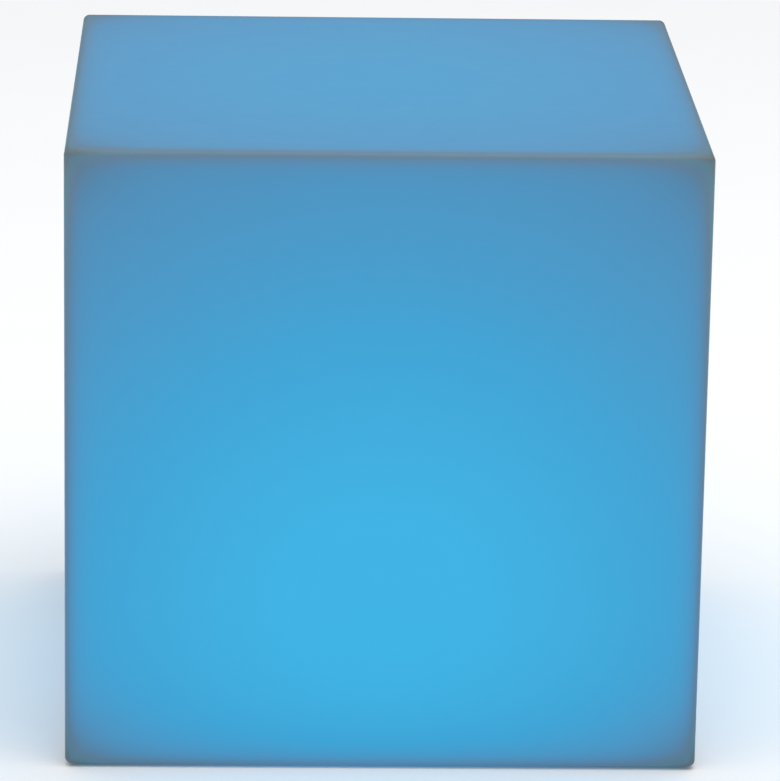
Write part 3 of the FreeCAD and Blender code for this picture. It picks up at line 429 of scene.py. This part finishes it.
def solder_mask(name, hex_colour):
    """Glass-epoxy or aluminium board under solder mask: glossy, the copper tracks raised."""
    material, tree, shader = new_material("solder_mask_" + name)
    place = add(tree, "TexCoord").outputs["Object"]
    tracks = add(tree, "TexBrick", {"Vector": place, "Scale": 1 / (10 * MILLIMETRE),
                                    "Mortar Size": 0.04, "Mortar Smooth": 0.2,
                                    "Brick Width": 0.6, "Row Height": 0.22})
    colour = srgb(hex_colour)
    lighter = [min(1, part * 1.35) for part in colour] + [1]
    mixed = add(tree, "Mix", {0: tracks.outputs["Fac"], 6: [*colour, 1], 7: lighter},
                data_type="RGBA")
    bump = add(tree, "Bump", {"Height": tracks.outputs["Fac"], "Distance": 0.04 * MILLIMETRE})
    tree.links.new(mixed.outputs[2], shader.inputs["Base Color"])
    tree.links.new(bump.outputs["Normal"], shader.inputs["Normal"])
    tree.links.new(varied_roughness(tree, 0.18, 0.3, 4 * MILLIMETRE), shader.inputs["Roughness"])
    set_sockets(shader, IOR=1.55)
    return material


def metal(name, hex_colour, low, high, grain, relief, stretch=(1, 1, 1)):
    """A metal whose scratches run along the axis that the pattern is stretched on."""
    material, tree, shader = new_material(name)
    place = add(tree, "TexCoord").outputs["Object"]
    drawn = add(tree, "Mapping", {"Vector": place, "Scale": stretch})
    marks = add(tree, "TexNoise", {"Vector": drawn.outputs["Vector"], "Scale": 1 / grain,
                                   "Detail": 4.0})
    rough = add(tree, "MapRange", {"Value": marks.outputs["Fac"], "From Min": 0.3, "From Max": 0.7,
                                   "To Min": low, "To Max": high})
    bump = add(tree, "Bump", {"Height": marks.outputs["Fac"], "Distance": relief})
    tree.links.new(rough.outputs["Result"], shader.inputs["Roughness"])
    tree.links.new(bump.outputs["Normal"], shader.inputs["Normal"])
    colour = tinted_grain(tree, srgb(hex_colour), 0.06, 4 * MILLIMETRE)
    tree.links.new(colour, shader.inputs["Base Color"])
    set_sockets(shader, Metallic=1.0)
    return material


def stainless_steel():
    """Cold-headed stainless screws: grey, bright, with fine marks."""
    return metal("cold_headed_stainless", "#B9BBBC", 0.22, 0.36, 0.4 * MILLIMETRE,
                 0.01 * MILLIMETRE)


def spring_steel():
    """Drawn spring wire: grey, smooth, with sharp glints along the coil."""
    return metal("drawn_spring_steel", "#A8AAAD", 0.2, 0.32, 0.3 * MILLIMETRE, 0.005 * MILLIMETRE)


def turned_brass():
    """Turned brass: yellow, with turning marks round the axis."""
    return metal("turned_brass", "#C9A45C", 0.2, 0.35, 0.35 * MILLIMETRE, 0.01 * MILLIMETRE,
                 (1, 1, 6))


def rolled_aluminium():
    """Rolled aluminium plate: pale, with long rolling marks."""
    return metal("rolled_aluminium", "#C9CCCF", 0.28, 0.42, 1.2 * MILLIMETRE,
                 0.01 * MILLIMETRE, (0.1, 2, 1))


def nickel_plate():
    """Nickel plating: warm grey, bright."""
    return metal("nickel_plate", "#C2BEB6", 0.16, 0.28, 0.8 * MILLIMETRE, 0.004 * MILLIMETRE)


def drawn_can():
    """Deep-drawn aluminium can in clear lacquer: pale, with a soft upright sheen."""
    return metal("drawn_aluminium_can", "#9CA2AC", 0.25, 0.35, 0.8 * MILLIMETRE,
                 0.006 * MILLIMETRE, (1, 1, 0.1))


def glowing_plastic(name, hex_colour, hex_light, strength, roughness):
    """A pale plastic that the lamp shines through, its light painted in as a glow, brighter and
    dimmer in random clouds.
    """
    material, tree, shader = new_material(name)
    place = add(tree, "TexCoord").outputs["Object"]
    cloud = add(tree, "TexNoise", {"Vector": place, "Scale": 1 / (8 * MILLIMETRE), "Detail": 2.0})
    light = srgb(hex_light)
    mixed = add(tree, "Mix", {0: cloud.outputs["Fac"], 6: [part * 0.85 for part in light] + [1],
                              7: [*light, 1]}, data_type="RGBA")
    tree.links.new(mixed.outputs[2], shader.inputs["Emission Color"])
    colour = tinted_grain(tree, srgb(hex_colour), 0.03, 5 * MILLIMETRE)
    tree.links.new(colour, shader.inputs["Base Color"])
    tree.links.new(skin_bump(tree, 0.6 * MILLIMETRE, 0.02 * MILLIMETRE), shader.inputs["Normal"])
    set_sockets(shader, Emission_Strength=strength, Roughness=roughness, IOR=1.58)
    return material


def frosted_polycarbonate():
    """Frosted polycarbonate dome, full of the LEDs' light."""
    return glowing_plastic("frosted_polycarbonate", "#C9DCE6", "#3FB4E6", 1.6, 0.55)


def led_package():
    """White LED package, moulded, with its lit window: the brightest spots inside."""
    return glowing_plastic("led_package", "#E9E4C8", "#6CCBF5", 2.5, 0.35)


def light_pipe():
    """Polished acrylic rod with the indicator's light at its face."""
    return glowing_plastic("polished_acrylic", "#BFD9E2", "#3BA3C9", 0.6, 0.12)


# --------------------------------------------------------------------------- dressing

def dress(nodes, material):
    """Gives frame nodes a material."""
    for name in nodes:
        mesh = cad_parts[name].data
        mesh.materials.clear()
        mesh.materials.append(material)


def nodes_like(*starts):
    """The frame nodes whose names start with one of these."""
    return [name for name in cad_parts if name.startswith(starts)]


def lofted(name, rings, material, closed=False):
    """A smooth piece through rings of points, joined end to start or capped at both ends."""
    mesh = bpy.data.meshes.new(name)
    shape = bmesh.new()
    rows = [[shape.verts.new(point) for point in ring] for ring in rings]
    for row, following in zip(rows, rows[1:] + rows[:1] if closed else rows[1:]):
        for number, corner in enumerate(row):
            beside = (number + 1) % len(row)
            shape.faces.new((corner, row[beside], following[beside], following[number]))
    if not closed:
        shape.faces.new(reversed(rows[0]))
        shape.faces.new(rows[-1])
    bmesh.ops.recalc_face_normals(shape, faces=shape.faces)
    shape.to_mesh(mesh)
    shape.free()
    mesh.shade_smooth()
    mesh.materials.append(material)
    piece = bpy.data.objects.new(name, mesh)
    bpy.context.collection.objects.link(piece)
    return piece


class CUBELIGHT_OT_shell(bpy.types.Operator):
    """Finish the moulded shell, lit from inside"""
    bl_idname = "cubelight.shell"
    bl_label = "Finish the shell"

    def execute(self, context):
        dress(["cube_shell"], rotomoulded_polyethylene(context.scene.cubelight_shell))
        return {"FINISHED"}


class CUBELIGHT_OT_casing(bpy.types.Operator):
    """Finish the feet, plate, gasket, screws and inserts"""
    bl_idname = "cubelight.casing"
    bl_label = "Finish the lamp unit's casing"

    def execute(self, context):
        dress(nodes_like("foot_pad"), moulded_rubber())
        dress(["base_housing"], moulded_abs_white())
        dress(["base_gasket", "dome_seal", "thermal_pad"], moulded_silicone("pale"))
        dress(["button_seal", "socket_seal"], moulded_silicone("dark"))
        dress(nodes_like("base_screws", "dome_screws", "led_board_screws", "clamp_screws",
                         "control_board_screws"), stainless_steel())
        dress(["threaded_inserts"], turned_brass())
        return {"FINISHED"}


class CUBELIGHT_OT_lamp(bpy.types.Operator):
    """Finish the dome, the LED board and the spreader"""
    bl_idname = "cubelight.lamp"
    bl_label = "Finish the lamp"

    def execute(self, context):
        dress(["dome_cover"], frosted_polycarbonate())
        dress(["heat_spreader"], rolled_aluminium())
        dress(["led_board"], solder_mask("white", "#E6E8E4"))
        dress(nodes_like("led_packages", "indicator_led"), led_package())
        dress(["indicator_light_pipe"], light_pipe())
        dress(["infrared_receiver"], epoxy_package())
        return {"FINISHED"}


class CUBELIGHT_OT_power(bpy.types.Operator):
    """Finish the cells, their tray and their leads"""
    bl_idname = "cubelight.power"
    bl_label = "Finish the power pack"

    def execute(self, context):
        dress(nodes_like("battery_cell"), shrink_sleeve())
        dress(nodes_like("nickel_strip", "socket_centre_pin"), nickel_plate())
        dress(["battery_tray", "battery_clamp"], moulded_abs_black())
        for name, colour in (("red", "#B3201E"), ("black", "#1C1C1E"), ("green", "#1E8A3C"),
                             ("blue", "#1E4FB0")):
            wires = [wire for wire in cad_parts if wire.endswith("lead_" + name)]
            if name == "black":
                wires.append("led_lead_common")
            dress(wires, wire_insulation(name, colour))
        return {"FINISHED"}


class CUBELIGHT_OT_control(bpy.types.Operator):
    """Finish the control board and what is soldered to it"""
    bl_idname = "cubelight.control"
    bl_label = "Finish the control board"

    def execute(self, context):
        dress(["control_board", "protection_board"], solder_mask("green", "#1B5E34"))
        dress(["controller_chip", "colour_drivers"], epoxy_package())
        dress(["charge_inductor"], sintered_ferrite())
        dress(["filter_capacitor"], drawn_can())
        dress(nodes_like("battery_connector", "led_connector"), moulded_nylon("natural"))
        dress(["charge_socket"], moulded_nylon("black"))
        return {"FINISHED"}


class CUBELIGHT_OT_button(bpy.types.Operator):
    """Finish the power button, its pill and its spring"""
    bl_idname = "cubelight.button"
    bl_label = "Finish the power button"

    def execute(self, context):
        look = context.scene.cubelight_underside
        finish = moulded_abs_graphite()
        dress(["power_button"], finish)
        low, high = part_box("power_button")
        middle = (low + high) / 2
        steps, bends = 96, 12
        rings = []
        for step in range(steps):
            turn = 2 * math.pi * step / steps
            outward = Vector((math.cos(turn), math.sin(turn), 0))
            foot = Vector((middle.x, middle.y, low.z)) + outward * look.ridge_radius
            rings.append([foot + outward * math.cos(bend) * look.ridge_width / 2
                          - Vector((0, 0, math.sin(bend) * look.ridge_height))
                          for bend in (2 * math.pi * number / bends for number in range(bends))])
        ridge = lofted("button_ridge", rings, finish, closed=True)
        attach(ridge, "button")
        dress(["contact_pill"], moulded_rubber())
        dress(["button_spring"], spring_steel())
        # the same coil again, between the board and the button, as a piece of its own in place of
        # the hidden one
        coil = bpy.data.objects.new("spring_coil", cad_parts["button_spring"].data.copy())
        context.collection.objects.link(coil)
        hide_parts("button_spring")
        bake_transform(coil)
        return {"FINISHED"}


class CUBELIGHT_OT_port(bpy.types.Operator):
    """Finish the rubber plug of the charge port"""
    bl_idname = "cubelight.port"
    bl_label = "Finish the port plug"

    def execute(self, context):
        look = context.scene.cubelight_underside
        finish = moulded_silicone("dark")
        dress(["port_plug", "plug_anchor"], finish)
        plug_end, anchor_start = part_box("port_plug")[1].x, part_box("plug_anchor")[0].x
        low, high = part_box("plug_anchor")
        steps, bends = 24, 16
        thickening = 0.6    # how much thicker the web is where it runs into its neighbours
        middle_y, half_wide = (low.y + high.y) / 2, 0.96 * (high.y - low.y) / 2
        start, end = plug_end - look.web_grip, anchor_start + look.web_grip
        bottom = low.z + 0.1 * look.web_thickness
        rings = []
        for step in range(steps + 1):
            along = step / steps
            x = start + (end - start) * along
            thick = look.web_thickness * (1 + thickening * abs(2 * along - 1) ** 2)
            # an oblong section with round ends
            rings.append([(x, middle_y + (half_wide - thick / 2) * (1 if math.cos(bend) > 0 else -1)
                           + math.cos(bend) * thick / 2,
                           bottom + thick / 2 + math.sin(bend) * thick / 2)
                          for bend in (2 * math.pi * (number + 0.5) / bends
                                       for number in range(bends))])
        web = lofted("plug_hinge_web", rings, finish)
        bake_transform(web)
        return {"FINISHED"}


# ------------------------------------------------------------------------- stage and camera

class CUBELIGHT_OT_stage(bpy.types.Operator):
    """Lay the floor, hang the soft lights and set the camera"""
    bl_idname = "cubelight.stage"
    bl_label = "Set the stage"

    def execute(self, context):
        look = context.scene.cubelight_stage
        bpy.ops.mesh.primitive_plane_add(size=30 * SIDE)
        floor = context.object
        floor.name = "floor"
        material, tree, shader = new_material("pale_matt_floor")
        tree.links.new(tinted_grain(tree, look.floor, 0.01, 0.1), shader.inputs["Base Color"])
        set_sockets(shader, Roughness=0.9, Specular_IOR_Level=0.1)
        floor.data.materials.append(material)

        # a soft room: grey walls that brighten towards a white ceiling
        world = bpy.data.worlds.new("soft_room")
        world.use_nodes = True
        tree = world.node_tree
        way = add(tree, "SeparateXYZ", {0: add(tree, "TexCoord").outputs["Generated"]})
        strength = add(tree, "MapRange", {"Value": way.outputs["Z"], "To Min": look.walls,
                                          "To Max": look.ceiling}, interpolation_type="SMOOTHSTEP")
        background = tree.nodes["Background"]
        background.inputs["Color"].default_value = (1, 1, 1, 1)
        tree.links.new(strength.outputs["Result"], background.inputs["Strength"])
        context.scene.world = world
        self.soft_light(context, "overhead", look.overhead, size=5 * SIDE,
                        place=Vector((1, -1, 8)) * SIDE)
        context.scene.view_settings.view_transform = "Standard"
        context.scene.view_settings.look = "None"
        self.camera(context, look)
        return {"FINISHED"}

    @staticmethod
    def soft_light(context, name, power, size, place):
        """A square soft light that shines at the middle of the cube."""
        light = bpy.data.lights.new(name, "AREA")
        light.energy, light.size = power, size
        lamp = bpy.data.objects.new(name, light)
        context.collection.objects.link(lamp)
        lamp.location = place
        aim = Vector((0, 0, SIDE / 2)) - place
        lamp.rotation_euler = aim.to_track_quat("-Z", "Y").to_euler()

    @staticmethod
    def camera(context, look):
        """The camera, where the photograph's stood."""
        turn, tilt = look.turn, look.height_angle
        forward = Vector((-math.sin(turn) * math.cos(tilt), math.cos(turn) * math.cos(tilt),
                          -math.sin(tilt)))
        right = Vector((math.cos(turn), math.sin(turn), 0))
        up = right.cross(forward)
        rolled_right = right * math.cos(look.roll) + up * math.sin(look.roll)
        rolled_up = up * math.cos(look.roll) - right * math.sin(look.roll)
        middle = (SHELL_LOW + SHELL_HIGH) / 2
        place = middle - rolled_right * look.right + rolled_up * look.down - forward * look.distance
        data = bpy.data.cameras.new("camera")
        data.lens, data.sensor_width = look.lens, 36
        data.clip_end = 100
        camera = bpy.data.objects.new("camera", data)
        context.collection.objects.link(camera)
        turned = Matrix((rolled_right, rolled_up, -forward)).transposed()
        camera.matrix_world = Matrix.Translation(place) @ turned.to_4x4()
        context.scene.camera = camera


# ------------------------------------------------------------------------------ the add-on

class CUBELIGHT_PT_panel(bpy.types.Panel):
    """Lists what the add-on can finish or make"""
    bl_idname = "CUBELIGHT_PT_panel"
    bl_label = "Cube light"
    bl_space_type = "VIEW_3D"
    bl_region_type = "UI"
    bl_category = "Cube light"

    def draw(self, context):
        scene = context.scene
        for settings in (scene.cubelight_shell, scene.cubelight_underside, scene.cubelight_stage):
            box = self.layout.box()
            for name in settings.bl_rna.properties.keys():
                if name not in ("rna_type", "name"):
                    box.prop(settings, name)
        for operator in OPERATORS:
            self.layout.operator(operator.bl_idname)


OPERATORS = (CUBELIGHT_OT_shell, CUBELIGHT_OT_casing, CUBELIGHT_OT_lamp, CUBELIGHT_OT_power,
             CUBELIGHT_OT_control, CUBELIGHT_OT_button, CUBELIGHT_OT_port, CUBELIGHT_OT_stage)
CLASSES = (CubeLightShell, CubeLightUnderside, CubeLightStage, *OPERATORS, CUBELIGHT_PT_panel)


def register():
    """Makes the classes and their settings known."""
    for made in CLASSES:
        bpy.utils.register_class(made)
    bpy.types.Scene.cubelight_shell = bpy.props.PointerProperty(type=CubeLightShell)
    bpy.types.Scene.cubelight_underside = bpy.props.PointerProperty(type=CubeLightUnderside)
    bpy.types.Scene.cubelight_stage = bpy.props.PointerProperty(type=CubeLightStage)


def unregister():
    """Takes the settings and the classes away again."""
    del bpy.types.Scene.cubelight_stage
    del bpy.types.Scene.cubelight_underside
    del bpy.types.Scene.cubelight_shell
    for made in reversed(CLASSES):
        bpy.utils.unregister_class(made)


def main():
    """Makes the whole scene."""
    register()
    for operator in OPERATORS:
        getattr(bpy.ops.cubelight, operator.bl_idname.split(".")[1])()


if __name__ == "__main__":
    main()
